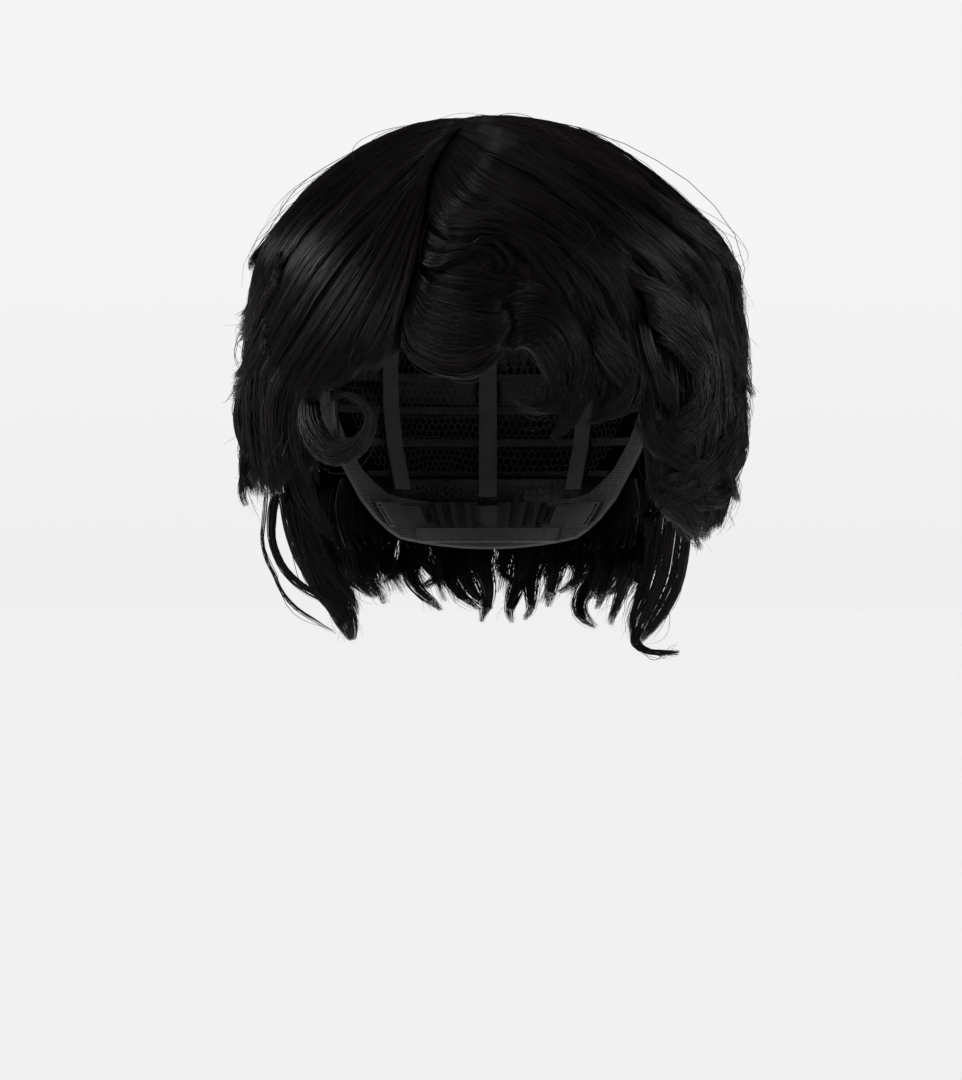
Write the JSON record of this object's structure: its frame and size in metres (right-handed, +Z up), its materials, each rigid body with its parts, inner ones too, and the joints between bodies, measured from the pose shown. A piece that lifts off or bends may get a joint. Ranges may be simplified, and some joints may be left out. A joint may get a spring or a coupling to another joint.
{
  "type": "costume wig",
  "caption": "Short wavy dark costume wig: stretch net cap with wefts and bands, hook adjusters at the nape, bendable ear tabs, and layered locks of hair with a side-swept fringe.",
  "frame": {"origin": "middle of the head that wears it, in the plane of the hat line, where the head is widest", "axes": "+Z up towards the crown, -Y towards the face, +X towards the wearer's left"},
  "size_m": [0.2133, 0.2274, 0.226],
  "materials": {
    "hair_fibre": "near-black heat-set synthetic hair fibre with a soft sheen",
    "cap_net": "charcoal open stretch net",
    "elastic": "charcoal ribbed elastic tape",
    "weft_tape": "dark grey machine-stitched tape",
    "velvet": "dark grey short-pile velvet",
    "skin_top": "matt grey-brown polyurethane film",
    "steel_wire": "bright bendable stay wire",
    "hook_plastic": "black moulded plastic, slightly glossy"
  },
  "bodies": {
    "wig": {"crown_front_right": "hair_fibre", "crown_front_left": "hair_fibre", "crown_back_left": "hair_fibre", "crown_back_right": "hair_fibre", "side_upper_right": "hair_fibre", "side_upper_left": "hair_fibre", "back_upper_left": "hair_fibre", "back_upper_right": "hair_fibre", "fringe_right": "hair_fibre", "fringe_centre": "hair_fibre", "fringe_left": "hair_fibre", "side_lower_right": "hair_fibre", "side_lower_left": "hair_fibre", "back_lower_left": "hair_fibre", "back_lower_right": "hair_fibre", "nape_centre": "hair_fibre", "fringe_tip_left": "hair_fibre", "cap_net": "cap_net", "front_band": "elastic", "side_band_left": "elastic", "side_band_right": "elastic", "nape_band": "elastic", "strap_casing_left": "elastic", "strap_casing_right": "elastic", "ribbon_1": "elastic", "ribbon_2": "elastic", "ribbon_3": "elastic", "ribbon_4": "elastic", "ribbon_5": "elastic", "weft_row_1": "weft_tape", "weft_row_2": "weft_tape", "weft_row_3": "weft_tape", "weft_row_4": "weft_tape", "weft_row_5": "weft_tape", "weft_row_6": "weft_tape", "weft_row_7": "weft_tape", "weft_row_8": "weft_tape", "loop_tape_left": "weft_tape", "loop_tape_right": "weft_tape", "nape_pad": "velvet", "parting_strip": "skin_top"},
    "ear_tab_left": {"ear_tab_left": "elastic", "ear_stay_left": "steel_wire", "sideburn_lock_left": "hair_fibre"},
    "ear_tab_right": {"ear_tab_right": "elastic", "ear_stay_right": "steel_wire", "sideburn_lock_right": "hair_fibre"},
    "adjuster_left": {"adjuster_hook_left": "hook_plastic", "adjuster_strap_left": "elastic"},
    "adjuster_right": {"adjuster_hook_right": "hook_plastic", "adjuster_strap_right": "elastic"},
    "nape_lock_left": {"nape_lock_left": "hair_fibre"},
    "nape_lock_right": {"nape_lock_right": "hair_fibre"},
    "ring_curl": {"ring_curl_right": "hair_fibre"}
  },
  "joints": [
    {"name": "ear_tab_left_bend", "type": "hinge", "parent": "wig", "child": "ear_tab_left", "pos_m": [0.0745, -0.0229, -0.0007], "axis": [-0.1969, -0.9804, 0], "range_deg": [-10, 5]},
    {"name": "ear_tab_right_bend", "type": "hinge", "parent": "wig", "child": "ear_tab_right", "pos_m": [-0.0745, -0.0229, -0.0007], "axis": [-0.1969, 0.9804, 0], "range_deg": [-10, 5]},
    {"name": "adjuster_left_pull", "type": "hinge", "parent": "wig", "child": "adjuster_left", "pos_m": [0, 0.0284, -0.06], "axis": [0, 0, 1], "range_deg": [0, 16]},
    {"name": "adjuster_right_pull", "type": "hinge", "parent": "wig", "child": "adjuster_right", "pos_m": [0, 0.0284, -0.06], "axis": [0, 0, -1], "range_deg": [0, 16]},
    {"name": "nape_lock_left_swing", "type": "hinge", "parent": "wig", "child": "nape_lock_left", "pos_m": [0.077, 0.036, -0.08], "axis": [0.2882, -0.9576, 0], "range_deg": [-10, 25], "stiffness_Nm_per_rad": 0.002},
    {"name": "nape_lock_right_swing", "type": "hinge", "parent": "wig", "child": "nape_lock_right", "pos_m": [-0.077, 0.036, -0.066], "axis": [0.2882, 0.9576, 0], "range_deg": [-10, 25], "stiffness_Nm_per_rad": 0.002},
    {"name": "ring_curl_swing", "type": "hinge", "parent": "wig", "child": "ring_curl", "pos_m": [-0.064, -0.072, -0.016], "axis": [-0.592, 0.806, 0], "range_deg": [-10, 25], "stiffness_Nm_per_rad": 0.002}
  ]
}
